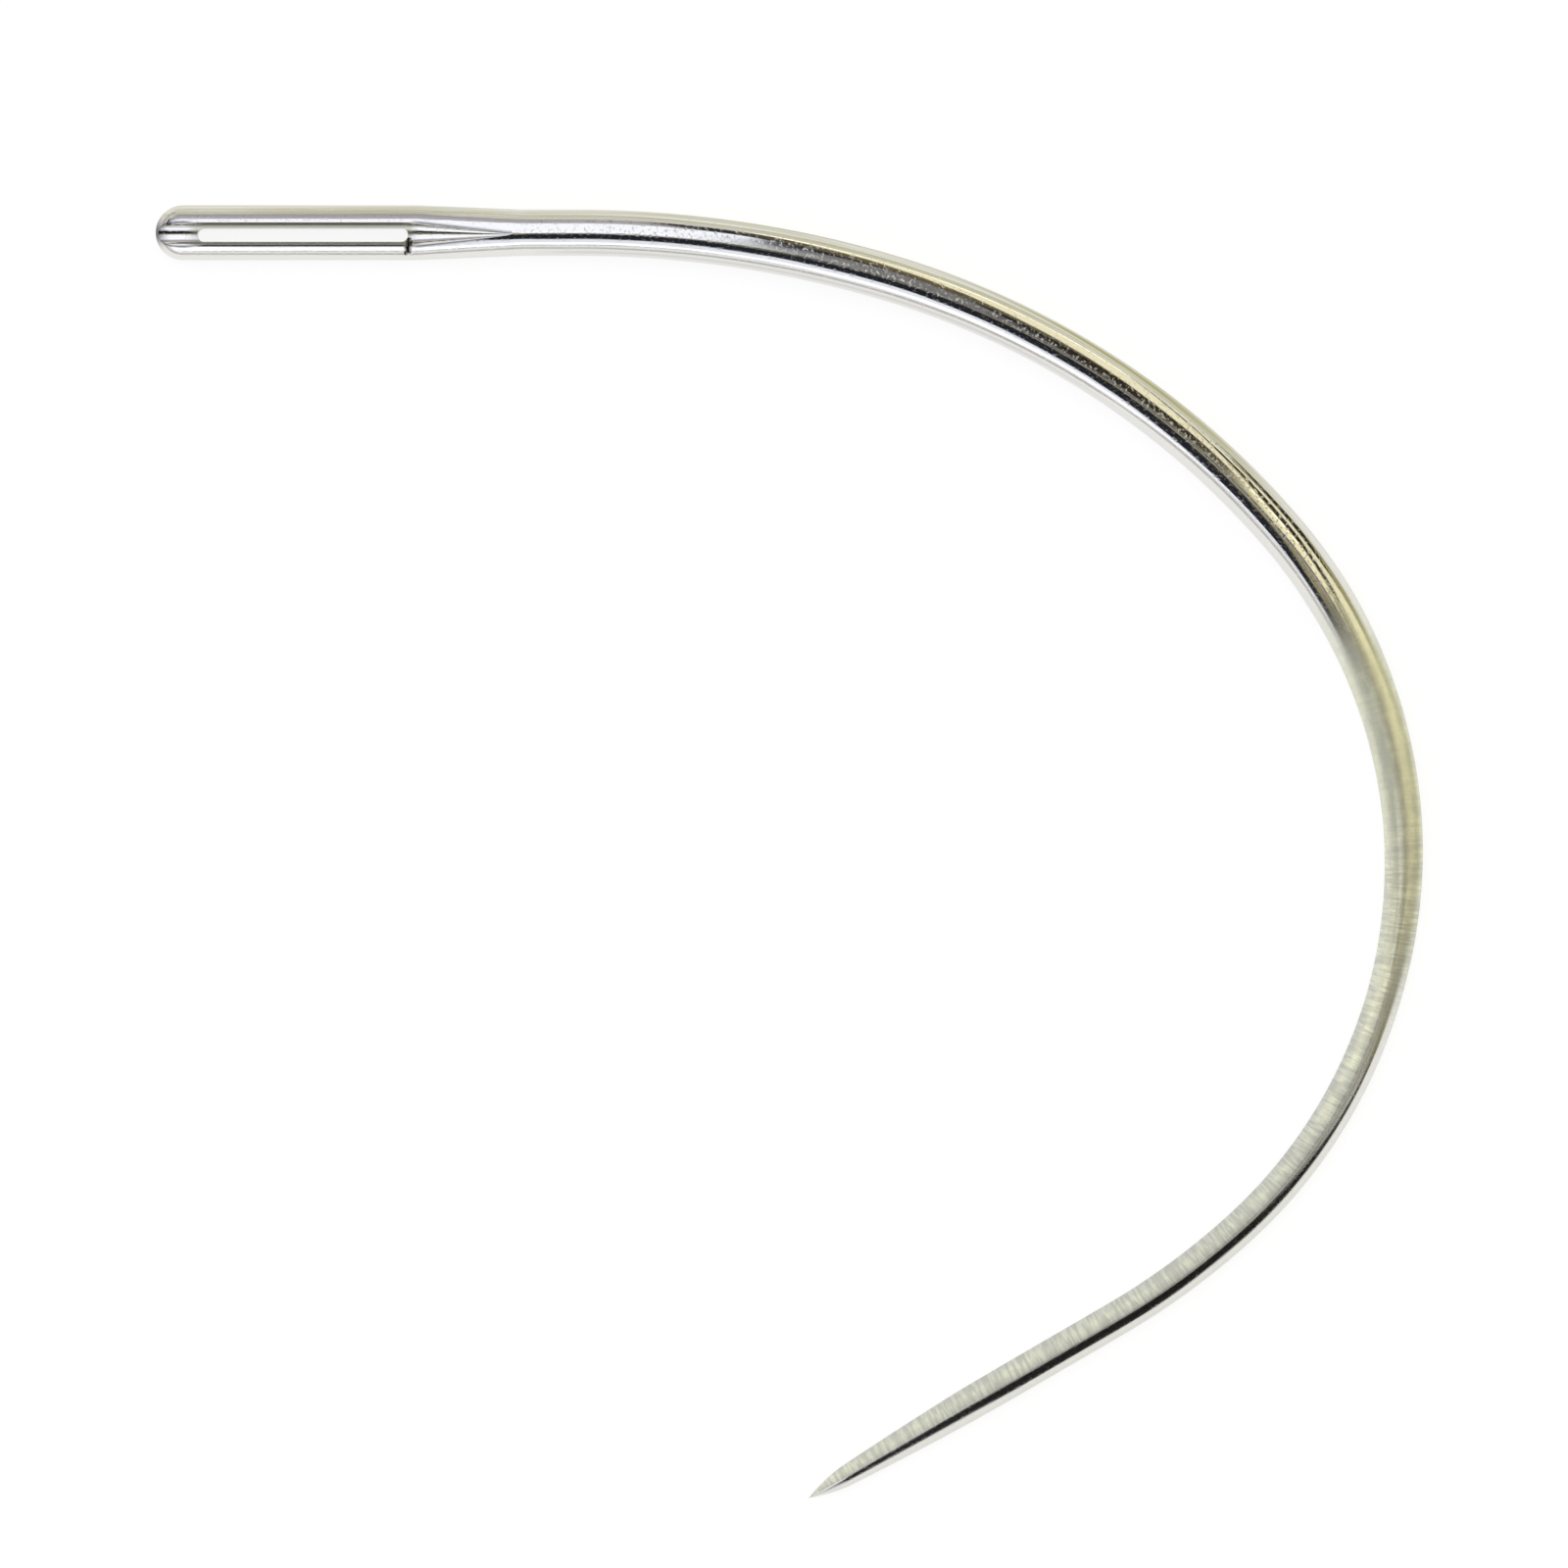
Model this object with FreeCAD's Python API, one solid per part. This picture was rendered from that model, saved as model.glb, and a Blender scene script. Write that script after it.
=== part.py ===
import FreeCAD, Part
import math
import os

os.makedirs("parts", exist_ok=True)

# A curved leather needle: one piece of round steel wire with a stamped eye at one end
# and a three sided ground point at the other. The bend lies in the plane of the floor.
# Sizes are in millimetres and degrees. Stations are lengths along the centre line.

# Wire
WIRE_DIAMETER = 1.42
DRAWN_DIAMETER = 1.18

# Centre line: a straight shank, four arcs that tighten and ease, a straight point
SHANK_LENGTH = 12.9
SHOULDER_RADIUS = 33.7
SHOULDER_TURN = 16.5
BACK_RADIUS = 25.3
BACK_TURN = 33.2
BOW_RADIUS = 15.3
BOW_TURN = 87.8
HOOK_RADIUS = 22.4
HOOK_TURN = 12.3
TIP_LENGTH = 10.87

# Head: stamped a little wider and flatter than the wire, with a round end
HEAD_WIDTH = 1.68
HEAD_THICKNESS = 1.2
HEAD_LENGTH = 8.05
NECK_LENGTH = 3.15

# Eye: a long slot right through the head
EYE_WIDTH = 0.42
EYE_LENGTH = 6.45
EYE_FROM_END = 1.29
# The eye and its gutters stand this much nearer to the inner side of the bend
EYE_OFF_CENTRE = 0.08

# Gutters: one on each face, as long as the eye, that taper out along the neck
GUTTER_RADIUS = 0.4
GUTTER_DEPTH = 0.32
GUTTER_PAST_EYE = 0.2
GUTTER_TAPER = 3.1
GUTTER_END_RADIUS = 0.02

# Ground blade: three facets, all lengths measured back from the tip
DRAW_START = 36.7
DRAW_END = 29.7
FACET_START = 47.2
FACET_SHALLOW_RUN = 8.0
FACET_SHALLOW_DEPTH = 0.11
FACET_DEEP_START = 36.2
FACET_DEEP_RUN = 13.0
BLADE_INRADIUS = 0.32

# Point: the facets close in two curves, a long slim one and a short one at the end
POINT_LENGTH = 7.2
POINT_END_LENGTH = 1.3
POINT_END_SHARE = 0.58
POINT_BULGE = 0.02
POINT_END_BULGE = 0.025

# Spare length that lets a cutting shape run past the surface it cuts
CUT_SPARE = 1.0
# Length of a facet cutter that runs above the wire before it starts to cut
CUTTER_LEAD = 4.0
# Clearance over the facets where the point cutter's curve begins, and further back
POINT_CLEARANCE = 0.002
LEAD_CLEARANCE = 0.03
# Distance between two sections of a facet cutter
SECTION_STEP = 2.0
# Facet directions round the wire, from the outer side of the bend up to the ridge
FACET_ANGLES = (30.0, 150.0, 270.0)

UP = FreeCAD.Vector(0, 0, 1)

# Each piece of the centre line is a length and a radius, with zero for a straight
PIECES = (
    (SHANK_LENGTH, 0.0),
    (SHOULDER_RADIUS * math.radians(SHOULDER_TURN), SHOULDER_RADIUS),
    (BACK_RADIUS * math.radians(BACK_TURN), BACK_RADIUS),
    (BOW_RADIUS * math.radians(BOW_TURN), BOW_RADIUS),
    (HOOK_RADIUS * math.radians(HOOK_TURN), HOOK_RADIUS),
    (TIP_LENGTH, 0.0),
)
NEEDLE_LENGTH = sum(length for length, radius in PIECES)


def advance(point, heading, run, radius):
    """Move along a straight, or round an arc that turns to the right."""
    if radius == 0.0:
        step = FreeCAD.Vector(math.cos(heading), math.sin(heading), 0) * run
        return point + step, heading
    turned = heading - run / radius
    side = FreeCAD.Vector(math.sin(heading), -math.cos(heading), 0) * radius
    back = FreeCAD.Vector(math.sin(turned), -math.cos(turned), 0) * radius
    return point + side - back, turned


def place(station):
    """Give the centre line point and the heading at a station."""
    point = FreeCAD.Vector(0, 0, 0)
    heading = 0.0
    left = station
    for length, radius in PIECES[:-1]:
        if left <= length:
            return advance(point, heading, left, radius)
        point, heading = advance(point, heading, length, radius)
        left -= length
    return advance(point, heading, left, PIECES[-1][1])


def centre_line(start, end):
    """Join the edges of the centre line between two stations."""
    edges = []
    begin = 0.0
    for index, (length, radius) in enumerate(PIECES):
        last = index == len(PIECES) - 1
        first_station = max(start, begin)
        last_station = end if last else min(end, begin + length)
        begin += length
        if last_station - first_station < 1e-6:
            continue
        a = place(first_station)[0]
        b = place(last_station)[0]
        if radius == 0.0:
            edges.append(Part.makeLine(a, b))
        else:
            middle = place((first_station + last_station) / 2)[0]
            edges.append(Part.Arc(a, middle, b).toShape())
    return Part.Wire(edges)


def ring(station, radius):
    """Make a circle square to the centre line."""
    point, heading = place(station)
    along = FreeCAD.Vector(math.cos(heading), math.sin(heading), 0)
    circle = Part.Circle(point, along, radius)
    return Part.Wire([circle.toShape()])


def wire_body(start, end, start_radius, end_radius):
    """Sweep round wire between two stations, tapered when the radii differ."""
    path = centre_line(start, end)
    rings = [ring(start, start_radius)]
    if start_radius != end_radius:
        rings.append(ring(end, end_radius))
    return path.makePipeShell(rings, True, False)


def ramp(value):
    """Rise smoothly from 0 to 1 while the value goes from 0 to 1."""
    value = min(max(value, 0.0), 1.0)
    return value * value * (3 - 2 * value)


def facet_offset(station):
    """Distance of a blade facet from the centre line."""
    from_tip = NEEDLE_LENGTH - station
    wire_radius = WIRE_DIAMETER / 2
    shallow = math.tanh(2 * (FACET_START - from_tip) / FACET_SHALLOW_RUN)
    deep = ramp((FACET_DEEP_START - from_tip) / FACET_DEEP_RUN)
    light_cut = FACET_SHALLOW_DEPTH * shallow
    full_cut = (wire_radius - FACET_SHALLOW_DEPTH - BLADE_INRADIUS) * deep
    return wire_radius - light_cut - full_cut


def section_frame(station, angle):
    """Give the centre, the outward direction and the width direction of a facet."""
    point, heading = place(station)
    outer = FreeCAD.Vector(-math.sin(heading), math.cos(heading), 0)
    turn = math.radians(angle)
    normal = outer * math.cos(turn) + UP * math.sin(turn)
    across = UP * math.cos(turn) - outer * math.sin(turn)
    return point, normal, across


def facet_cutter(angle):
    """Build the block of metal that grinding takes off one side of the blade."""
    sections = []
    start = NEEDLE_LENGTH - FACET_START - CUTTER_LEAD
    end = NEEDLE_LENGTH + CUT_SPARE
    count = int(math.ceil((end - start) / SECTION_STEP))
    for index in range(count + 1):
        station = start + (end - start) * index / count
        point, normal, across = section_frame(station, angle)
        near = point + normal * facet_offset(station)
        far = near + normal * WIRE_DIAMETER
        side = across * WIRE_DIAMETER
        corners = [near - side, near + side, far + side, far - side]
        sections.append(Part.makePolygon(corners + corners[:1]))
    return Part.makeLoft(sections, True, False)


def bulged(start, end, bulge, normal):
    """Draw an arc between two points that stands out from its chord."""
    middle = (start + end) * 0.5 + normal * bulge
    return Part.Arc(start, middle, end).toShape()


def point_cutter(angle):
    """Build the block that closes one facet down to the tip."""
    point, normal, across = section_frame(NEEDLE_LENGTH, angle)
    heading = place(NEEDLE_LENGTH)[1]
    along = FreeCAD.Vector(math.cos(heading), math.sin(heading), 0)
    low = point - across * WIRE_DIAMETER
    first = low - along * POINT_LENGTH + normal * (BLADE_INRADIUS + POINT_CLEARANCE)
    lead = first - along * CUT_SPARE + normal * LEAD_CLEARANCE
    second = low - along * POINT_END_LENGTH + normal * BLADE_INRADIUS * POINT_END_SHARE
    beyond = low + (low - second) * (CUT_SPARE / POINT_END_LENGTH)
    lift = normal * WIRE_DIAMETER
    edges = [
        Part.makeLine(lead, first),
        bulged(first, second, POINT_BULGE, normal),
        bulged(second, low, POINT_END_BULGE, normal),
        Part.makeLine(low, beyond),
        Part.makeLine(beyond, beyond + lift * 2),
        Part.makeLine(beyond + lift * 2, lead + lift * 2),
        Part.makeLine(lead + lift * 2, lead),
    ]
    face = Part.Face(Part.Wire(edges))
    return face.extrude(across * WIRE_DIAMETER * 2)


def oval(station, half_width, half_thickness):
    """Make an oval section square to the straight shank."""
    centre = FreeCAD.Vector(station, 0, 0)
    wide = centre + FreeCAD.Vector(0, half_width, 0)
    high = centre + UP * half_thickness
    if half_width == half_thickness:
        curve = Part.Circle(centre, FreeCAD.Vector(1, 0, 0), half_width)
        curve.XAxis = FreeCAD.Vector(0, 1, 0)
    else:
        curve = Part.Ellipse(wide, high, centre)
    return Part.Wire([curve.toShape()])


def head_body():
    """Build the flattened head with its round end and the neck behind it."""
    half_width = HEAD_WIDTH / 2
    half_thickness = HEAD_THICKNESS / 2
    ball = Part.makeSphere(half_width)
    squash = FreeCAD.Matrix()
    squash.scale(FreeCAD.Vector(1, 1, half_thickness / half_width))
    ball = ball.transformGeometry(squash)
    ball.translate(FreeCAD.Vector(half_width, 0, 0))
    flat_end = oval(half_width, half_width, half_thickness)
    barrel = Part.Face(flat_end).extrude(FreeCAD.Vector(HEAD_LENGTH - half_width, 0, 0))
    wire_radius = WIRE_DIAMETER / 2
    neck_start = oval(HEAD_LENGTH, half_width, half_thickness)
    neck_end = oval(HEAD_LENGTH + NECK_LENGTH, wire_radius, wire_radius)
    neck = Part.makeLoft([neck_start, neck_end], True, True)
    return ball.fuse([barrel, neck])


def eye_cutter():
    """Build the slot that goes right through the head."""
    radius = EYE_WIDTH / 2
    first = EYE_FROM_END + radius
    last = EYE_FROM_END + EYE_LENGTH - radius
    depth = HEAD_THICKNESS + 2 * CUT_SPARE
    base = FreeCAD.Vector(0, -EYE_OFF_CENTRE, -depth / 2)
    ends = [
        Part.makeCylinder(radius, depth, base + FreeCAD.Vector(x, 0, 0), UP)
        for x in (first, last)
    ]
    corner = base + FreeCAD.Vector(first, -radius, 0)
    middle = Part.makeBox(last - first, EYE_WIDTH, depth, corner)
    return middle.fuse(ends)


def gutter_cutter(face):
    """Build the thread groove of the upper face (1) or the lower face (-1)."""
    height = HEAD_THICKNESS / 2 - GUTTER_DEPTH + GUTTER_RADIUS
    eye_end = EYE_FROM_END + EYE_LENGTH
    along = FreeCAD.Vector(1, 0, 0)
    start = FreeCAD.Vector(-CUT_SPARE, -EYE_OFF_CENTRE, face * height)
    knee = FreeCAD.Vector(eye_end + GUTTER_PAST_EYE, -EYE_OFF_CENTRE, face * height)
    top = WIRE_DIAMETER / 2 + GUTTER_END_RADIUS
    end = FreeCAD.Vector(knee.x + GUTTER_TAPER, -EYE_OFF_CENTRE, face * top)
    groove = Part.makeCylinder(GUTTER_RADIUS, knee.x - start.x, start, along)
    wide = Part.Wire([Part.Circle(knee, along, GUTTER_RADIUS).toShape()])
    narrow = Part.Wire([Part.Circle(end, along, GUTTER_END_RADIUS).toShape()])
    taper = Part.makeLoft([wide, narrow], True, True)
    return groove.fuse(taper)


def needle():
    """Join the wire and the head, then cut the eye, the gutters and the blade."""
    wire_radius = WIRE_DIAMETER / 2
    drawn_radius = DRAWN_DIAMETER / 2
    draw_start = NEEDLE_LENGTH - DRAW_START
    draw_end = NEEDLE_LENGTH - DRAW_END
    shank = wire_body(HEAD_LENGTH + NECK_LENGTH, draw_start, wire_radius, wire_radius)
    draw = wire_body(draw_start, draw_end, wire_radius, drawn_radius)
    blade = wire_body(draw_end, NEEDLE_LENGTH, drawn_radius, drawn_radius)
    body = head_body().fuse([shank, draw, blade]).removeSplitter()
    body = body.cut([eye_cutter(), gutter_cutter(1), gutter_cutter(-1)])
    body = body.cut([facet_cutter(angle) for angle in FACET_ANGLES])
    body = body.cut([point_cutter(angle) for angle in FACET_ANGLES])
    return body.removeSplitter().Solids[0]


def lie_down(body):
    """Lean the needle until neck, bow and point all touch the floor."""
    neck = place(HEAD_LENGTH + NECK_LENGTH)[0] - UP * (WIRE_DIAMETER / 2)
    bow = place(NEEDLE_LENGTH - FACET_START)[0] - UP * (WIRE_DIAMETER / 2)
    point, normal, across = section_frame(NEEDLE_LENGTH - POINT_LENGTH, FACET_ANGLES[-1])
    half_blade = math.sqrt(3) * BLADE_INRADIUS
    tip = point + normal * BLADE_INRADIUS + across * half_blade
    square = (neck - bow).cross(tip - bow)
    lean = FreeCAD.Rotation(square, UP)
    body.rotate(FreeCAD.Vector(0, 0, 0), lean.Axis, math.degrees(lean.Angle))
    body.translate(-UP * lean.multVec(neck).z)
    return body


solid = lie_down(needle())
box = solid.optimalBoundingBox(False)
solid.translate(FreeCAD.Vector(-box.Center.x, -box.Center.y, 0))
solid.exportStep("parts/needle.step")
print("valid", solid.isValid(), "faces", len(solid.Faces), "volume", solid.Volume)
print("box", box.XLength, box.YLength, box.ZLength)
print("centre", solid.CenterOfMass)
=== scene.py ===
import logging
import math
from dataclasses import dataclass, field
from enum import Enum
from typing import NamedTuple

import bmesh
import bpy
from mathutils import Matrix, Vector


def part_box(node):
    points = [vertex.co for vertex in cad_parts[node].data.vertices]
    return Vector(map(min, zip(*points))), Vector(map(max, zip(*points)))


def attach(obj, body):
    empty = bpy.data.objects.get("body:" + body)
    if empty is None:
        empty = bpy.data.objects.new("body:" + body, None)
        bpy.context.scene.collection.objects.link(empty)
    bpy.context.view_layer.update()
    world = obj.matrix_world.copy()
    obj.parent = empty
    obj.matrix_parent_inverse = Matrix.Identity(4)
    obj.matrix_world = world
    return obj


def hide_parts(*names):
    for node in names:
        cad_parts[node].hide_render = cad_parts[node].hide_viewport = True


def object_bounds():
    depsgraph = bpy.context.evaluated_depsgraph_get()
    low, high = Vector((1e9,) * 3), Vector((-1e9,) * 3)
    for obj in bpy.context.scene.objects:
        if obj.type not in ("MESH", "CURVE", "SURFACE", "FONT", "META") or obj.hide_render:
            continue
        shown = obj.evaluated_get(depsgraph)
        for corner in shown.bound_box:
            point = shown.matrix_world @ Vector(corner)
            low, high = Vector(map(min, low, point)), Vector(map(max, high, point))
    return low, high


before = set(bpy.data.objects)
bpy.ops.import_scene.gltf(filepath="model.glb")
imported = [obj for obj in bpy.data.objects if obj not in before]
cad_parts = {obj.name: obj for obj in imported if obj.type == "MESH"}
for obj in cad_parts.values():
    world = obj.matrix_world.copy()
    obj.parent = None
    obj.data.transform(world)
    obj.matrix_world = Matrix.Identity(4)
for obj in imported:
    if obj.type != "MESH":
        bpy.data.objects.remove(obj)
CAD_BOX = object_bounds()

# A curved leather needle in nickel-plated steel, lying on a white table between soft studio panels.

log = logging.getLogger("curved_leather_needle")
Tree = bpy.types.NodeTree
Socket = bpy.types.NodeSocket

# One millimetre in metres: the needle's sizes are in millimetres, the studio's in metres.
MM = 0.001
# Points nearer than this, in millimetres, are one point.
WELD = 1e-5
# The diameter of the wire that the needle is made from.
WIRE = 1.42
# A colour mix gives its colour at the output of this number.
MIXED_COLOUR = 2


class Side(Enum):
    """The two sides of the needle: outside the bend is +1 and inside the bend is -1."""

    OUTER = 1
    INNER = -1


class Face(Enum):
    """The two faces of the flattened eye: the one seen from above is +1."""

    TOP = 1
    UNDER = -1


class Fade(NamedTuple):
    """A soft change, from its least value at its start to 1 a run away. A run may be negative."""

    start: float
    run: float
    least: float = 0.0

    def at(self, place: float) -> float:
        """Return how far the change has come at a place."""
        share = min(max((place - self.start) / self.run, 0.0), 1.0)
        return self.least + (1 - self.least) * share * share * (3 - 2 * share)


class Hump(NamedTuple):
    """A soft hump: 1 in its middle, and about a third at its half width from there."""

    middle: float
    half: float

    def at(self, place: float) -> float:
        """Return the hump's height at a place."""
        return math.exp(-((place - self.middle) / self.half) ** 2)


# Only the outside of the bend is tinted yellow-olive, a painted reflection of the shaded table on that side.
# The places are shares of half the wire's width.
OUTER_PAINTED_TINT = Fade(0.45, 0.4)


def linear(hex_colour: str) -> tuple[float, float, float, float]:
    """Turn an sRGB colour into the linear values that Blender works in.

    Args:
        hex_colour: the colour as "#RRGGBB".

    Returns:
        Linear red, green and blue, and an alpha of 1.
    """
    channels = []
    for start in (1, 3, 5):
        value = int(hex_colour[start:start + 2], 16) / 255
        channels.append(value / 12.92 if value <= 0.04045 else ((value + 0.055) / 1.055) ** 2.4)
    return (channels[0], channels[1], channels[2], 1.0)


def steps(start: float, end: float, pitch: float) -> list[float]:
    """Divide a run evenly, near a pitch.

    Args:
        start: where the run starts.
        end: where it ends.
        pitch: the distance wanted between two places.

    Returns:
        The places, with both ends.
    """
    count = max(1, round((end - start) / pitch))
    return [start + (end - start) * index / count for index in range(count + 1)]


@dataclass(frozen=True)
class CentreLine:
    """The line that the wire's middle follows: straight, four bends to the right, straight."""

    shank: float = 12.9
    # The radius of each bend, and its turn in degrees.
    bends: tuple[tuple[float, float], ...] = ((33.7, 16.5), (25.3, 33.2), (15.3, 87.8), (22.4, 12.3))
    tip: float = 10.87

    @property
    def length(self) -> float:
        """The needle's length along the curve."""
        return self.shank + sum(radius * math.radians(turn) for radius, turn in self.bends) + self.tip

    def place(self, station: float) -> tuple[Vector, float]:
        """Find a place on the line.

        Args:
            station: distance from the eye end along the curve.

        Returns:
            The place, and the heading there in radians.
        """
        run = min(station, self.shank)
        spot, heading, left = Vector((run, 0, 0)), 0.0, station - run
        for radius, turn in self.bends:
            angle = min(left / radius, math.radians(turn))
            turned = heading - angle
            spot.x += radius * (math.sin(heading) - math.sin(turned))
            spot.y += radius * (math.cos(turned) - math.cos(heading))
            heading = turned
            left -= angle * radius
        return spot + Vector((math.cos(heading), math.sin(heading), 0)) * left, heading

    def bend(self, straight: Vector) -> Vector:
        """Carry a point of the straightened needle to the bent one.

        Args:
            straight: distance along, across towards the outer side, and up.

        Returns:
            The same point of the bent needle.
        """
        spot, heading = self.place(straight.x)
        outward = Vector((-math.sin(heading), math.cos(heading), 0))
        return spot + outward * straight.y + Vector((0, 0, straight.z))


class Corner(NamedTuple):
    """A point of the skin: its place on the straightened needle, and its finish and painted light there,
    from 0 to 1.
    """

    straight: Vector
    ground: float = 0.0
    painted_shade: float = 0.0
    painted_tint: float = 0.0
    sheen: float = 0.0
    streaked: float = 0.0


# What a corner says of the finish and the painted light, which the mesh passes to the plate's material.
FINISHES_AND_PAINTED_LIGHT = Corner._fields[1:]


@dataclass
class Skin:
    """The needle's surface while it is made, with points that fall together joined."""

    line: CentreLine
    corners: list[Corner] = field(default_factory=list)
    faces: list[tuple[int, ...]] = field(default_factory=list)
    known: dict[tuple[int, ...], int] = field(default_factory=dict)

    def number(self, corner: Corner) -> int:
        """Number a corner, and add it when its place is new.

        Args:
            corner: the corner.

        Returns:
            The number of the corner at its place.
        """
        key = tuple(round(value / WELD) for value in corner.straight)
        if key not in self.known:
            self.known[key] = len(self.corners)
            self.corners.append(corner)
        return self.known[key]

    def grid(self, rows: list[list[Corner]]) -> None:
        """Join rows of corners with quads, which become triangles where corners fall together.

        Args:
            rows: the rows, all of one length.
        """
        numbers = [[self.number(corner) for corner in row] for row in rows]
        for here, beyond in zip(numbers, numbers[1:]):
            for column in range(len(here) - 1):
                loop = (here[column], beyond[column], beyond[column + 1], here[column + 1])
                kept = tuple(dict.fromkeys(loop))
                if len(kept) > 2:
                    self.faces.append(kept)

    def mesh(self, name: str, crease_degrees: float) -> bpy.types.Mesh:
        """Make the mesh, bent to shape, in metres, with each corner's place, finish and painted light as
        attributes.

        Args:
            name: the mesh's name.
            crease_degrees: the angle from which an edge is drawn sharp.

        Returns:
            The closed, smooth mesh.
        """
        mesh = bpy.data.meshes.new(name)
        mesh.from_pydata([self.line.bend(corner.straight) * MM for corner in self.corners], [], self.faces)
        straight = mesh.attributes.new("straight", "FLOAT_VECTOR", "POINT")
        straight.data.foreach_set("vector", [value for corner in self.corners for value in corner.straight])
        for finish_and_paint in FINISHES_AND_PAINTED_LIGHT:
            layer = mesh.attributes.new(finish_and_paint, "FLOAT", "POINT")
            layer.data.foreach_set("value", [getattr(corner, finish_and_paint) for corner in self.corners])
        work = bmesh.new()
        work.from_mesh(mesh)
        bmesh.ops.recalc_face_normals(work, faces=work.faces)
        open_edges = sum(1 for edge in work.edges if not edge.is_manifold)
        work.to_mesh(mesh)
        work.free()
        mesh.shade_smooth()
        mesh.set_sharp_from_angle(angle=math.radians(crease_degrees))
        log.info("%s: %d faces, %d open edges", name, len(mesh.polygons), open_edges)
        return mesh


@dataclass(frozen=True)
class Head:
    """The flattened eye end: an oval barrel with a domed end, a long slot, and a gutter on both faces."""

    width: float = 1.68
    thickness: float = 1.2
    length: float = 8.05
    neck: float = 3.15
    eye_radius: float = 0.21
    eye_length: float = 6.45
    eye_from_end: float = 1.29
    eye_off_centre: float = 0.08
    gutter_radius: float = 0.4
    gutter_depth: float = 0.32
    gutter_past_eye: float = 0.2
    gutter_taper: float = 3.1
    gutter_end_radius: float = 0.02
    # How rough the stamped parts are, and how much painted shade and painted yellow reflection tint lie on
    # them, from 0 to 1. The slot's wall, the inner gutter and the gutter's rim past the slot get painted
    # shade, the outer side a painted tint.
    gutter_painted_shade: float = 0.16
    gutter_rough: float = 0.28
    outer_gutter_rough: float = 0.5
    gutter_painted_tint: float = 0.5
    wall_painted_shade: float = 0.2
    rim_painted_shade: float = 0.8
    outer_painted_tint: float = 0.5
    # The dome's very end is painted dark: a painted dark reflection.
    end_painted_dark: float = 0.92
    end_along: Fade = Fade(0.5, -0.5)
    end_across: Fade = Fade(0.7, -0.7)
    # A small cut lies across the inner rail where the slot ends, painted dark inside as painted shade.
    notch_at: float = 7.75
    notch_half: float = 0.13
    notch_depth: float = 0.12
    notch_outer_end: Fade = Fade(-0.15, -0.1)
    notch_inner_end: Fade = Fade(-0.7, 0.1)
    notch_steps: int = 3
    side_steps: int = 12
    gutter_steps: int = 8
    wall_steps: int = 8
    dome_steps: int = 24
    pitch: float = 0.1
    closest: float = 0.002
    # How often the search for the gutter's rim halves its range.
    halvings: int = 40

    @property
    def end(self) -> float:
        """Where the head has become round wire."""
        return self.length + self.neck

    @property
    def eye_end(self) -> float:
        """Where the slot ends."""
        return self.eye_from_end + self.eye_length

    def oval(self, station: float) -> tuple[float, float]:
        """Find the size of the oval section.

        Args:
            station: distance from the end.

        Returns:
            Half the width and half the thickness.
        """
        wide, thick = self.width / 2, self.thickness / 2
        if station < wide:
            share = math.sqrt(max(0.0, 1 - (1 - station / wide) ** 2))
            return wide * share, thick * share
        share = max(0.0, station - self.length) / self.neck
        return wide + (WIRE / 2 - wide) * share, thick + (WIRE / 2 - thick) * share

    def gutter(self, station: float) -> tuple[float, float]:
        """Find the round cutter that would leave the gutter, which tapers off past the slot.

        Args:
            station: distance from the end.

        Returns:
            The gutter's radius, and the height of its axis.
        """
        share = max(0.0, station - self.eye_end - self.gutter_past_eye) / self.gutter_taper
        axis = self.thickness / 2 + self.gutter_radius - self.gutter_depth
        end_axis = WIRE / 2 + self.gutter_end_radius
        radius = self.gutter_radius + (self.gutter_end_radius - self.gutter_radius) * share
        return max(radius, self.gutter_end_radius), axis + (end_axis - axis) * share

    def eye_half(self, station: float) -> float:
        """Return half the slot's width, 0 outside the slot."""
        past = max(0.0, self.eye_radius - min(station - self.eye_from_end, self.eye_end - station))
        return math.sqrt(max(0.0, self.eye_radius ** 2 - past ** 2))

    def middle(self, station: float) -> float:
        """Return how far across the eye's middle line stands: none at both ends of the head."""
        left = (self.end - station) / (2 * self.eye_radius)
        return -self.eye_off_centre * min(1.0, self.oval(station)[0] / self.gutter_radius, left)

    def crown(self, station: float, across: float) -> float:
        """Return the height of the oval at a distance across."""
        wide, thick = self.oval(station)
        return thick * math.sqrt(max(0.0, 1 - (across / wide) ** 2)) if wide > 0 else 0.0

    def notch(self, station: float, across: float) -> float:
        """Return how much of the small cut's depth is reached on the inner rail, 0 beside the cut."""
        along = max(0.0, 1 - abs(station - self.notch_at) / self.notch_half)
        return along * self.notch_outer_end.at(across) * self.notch_inner_end.at(across)

    def painted_end_dark(self, station: float, across: float) -> float:
        """Return how dark the dome's very end is painted, a painted dark reflection."""
        return self.end_painted_dark * self.end_along.at(station) * self.end_across.at(abs(across))

    def beside_eye(self, station: float) -> float:
        """Return 1 beside the slot, and a soft fall to 0 past its ends."""
        past = max(self.eye_from_end - station, station - self.eye_end, 0.0)
        return Fade(2 * self.eye_radius, -2 * self.eye_radius).at(past)

    def rim(self, station: float, side: Side) -> float:
        """Find how far from the eye's middle line the gutter meets the oval.

        Args:
            station: distance from the end.
            side: which side of the needle.

        Returns:
            The distance, 0 where there is no gutter.
        """
        middle = self.middle(station)
        radius, axis = self.gutter(station)
        if axis - radius >= self.crown(station, middle):
            return 0.0
        low, high = 0.0, min(radius, self.oval(station)[0] - side.value * middle)
        for _ in range(self.halvings):
            tried = (low + high) / 2
            floor = axis - math.sqrt(max(0.0, radius ** 2 - tried ** 2))
            inside = self.crown(station, middle + side.value * tried) > floor
            low, high = (tried, high) if inside else (low, tried)
        return (low + high) / 2

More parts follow.
